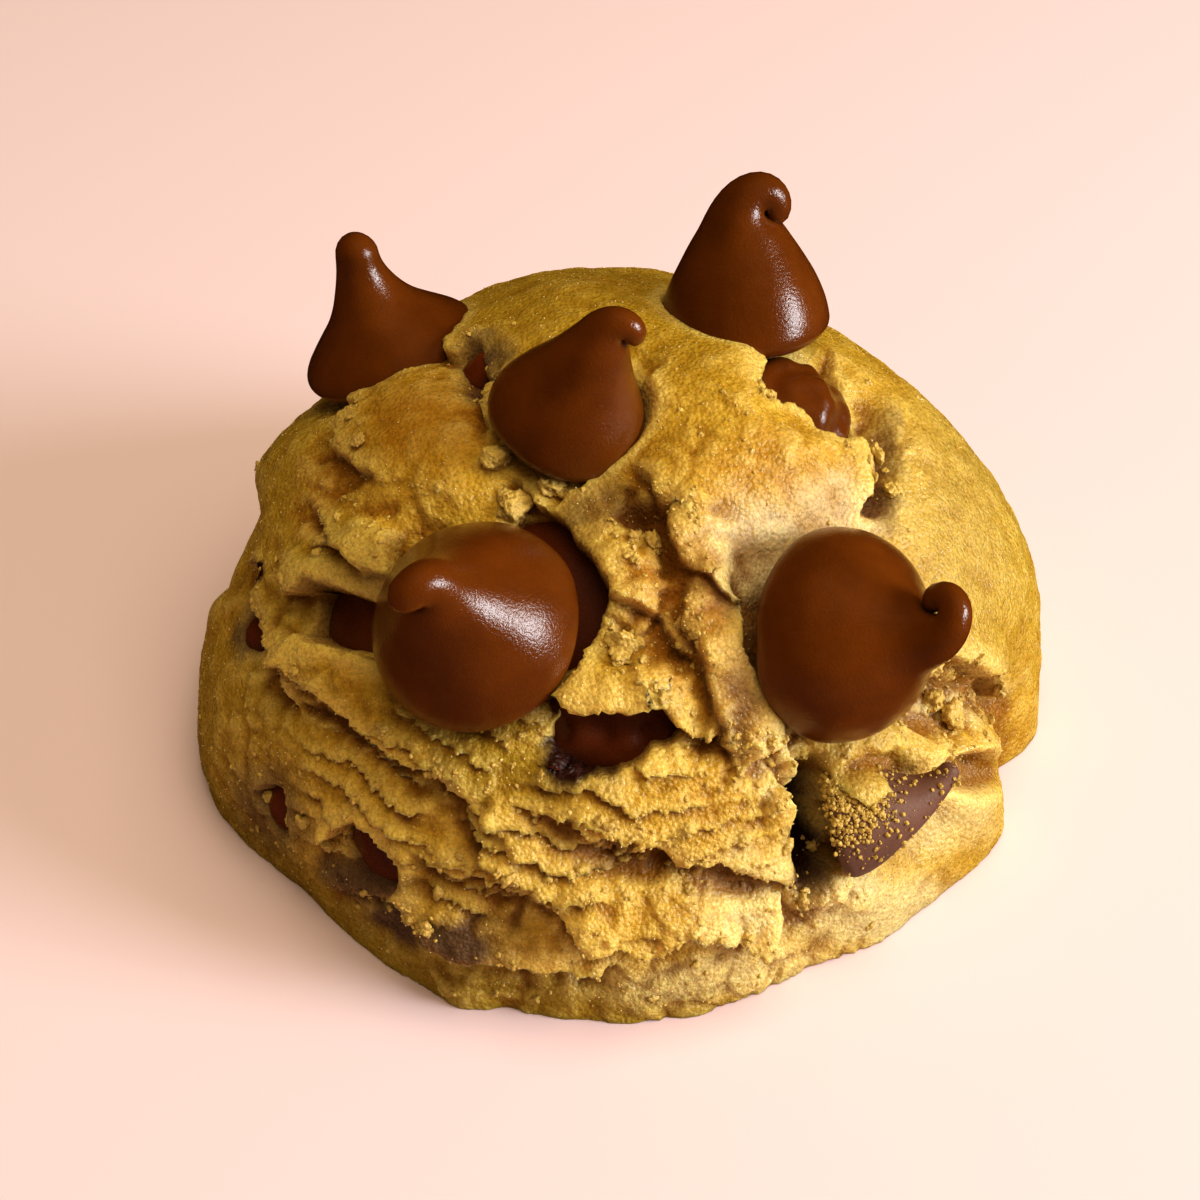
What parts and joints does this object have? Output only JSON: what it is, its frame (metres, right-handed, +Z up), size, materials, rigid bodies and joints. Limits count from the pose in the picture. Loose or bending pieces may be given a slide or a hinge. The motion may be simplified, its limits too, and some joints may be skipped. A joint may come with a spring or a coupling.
{
  "type": "chocolate chip cookie",
  "caption": "Tall scooped chocolate chip cookie: a round mound of crumbly golden dough on a flat underside, with drawn-out chocolate chips standing on it and others sunk into it.",
  "frame": {"origin": "middle of the flat underside, straight below the middle of the round mound", "axes": "+Z up out of the flat underside; -Y is the front, the side with most of the chips; +X is to the right seen from the front"},
  "size_m": [0.0522, 0.0523, 0.033],
  "materials": {
    "dough": "matte",
    "chocolate": "gloss",
    "sunken_chocolate": "gloss",
    "dusty_chocolate": "matte"
  },
  "bodies": {
    "root": {"dough": "dough", "chip_front": "chocolate", "chip_right": "chocolate", "chip_top_right": "chocolate", "chip_top_left": "chocolate", "chip_centre": "chocolate", "chip_lower_right": "dusty_chocolate", "chip_sunk_upper_right": "sunken_chocolate", "chip_sunk_left": "sunken_chocolate", "chip_sunk_beside_front": "sunken_chocolate", "chip_sunk_middle": "sunken_chocolate", "chip_sunk_lower_left": "sunken_chocolate", "chip_sunk_far_left": "sunken_chocolate", "chip_sunk_left_foot": "sunken_chocolate", "chip_sunk_behind_centre": "sunken_chocolate"}
  },
  "joints": []
}
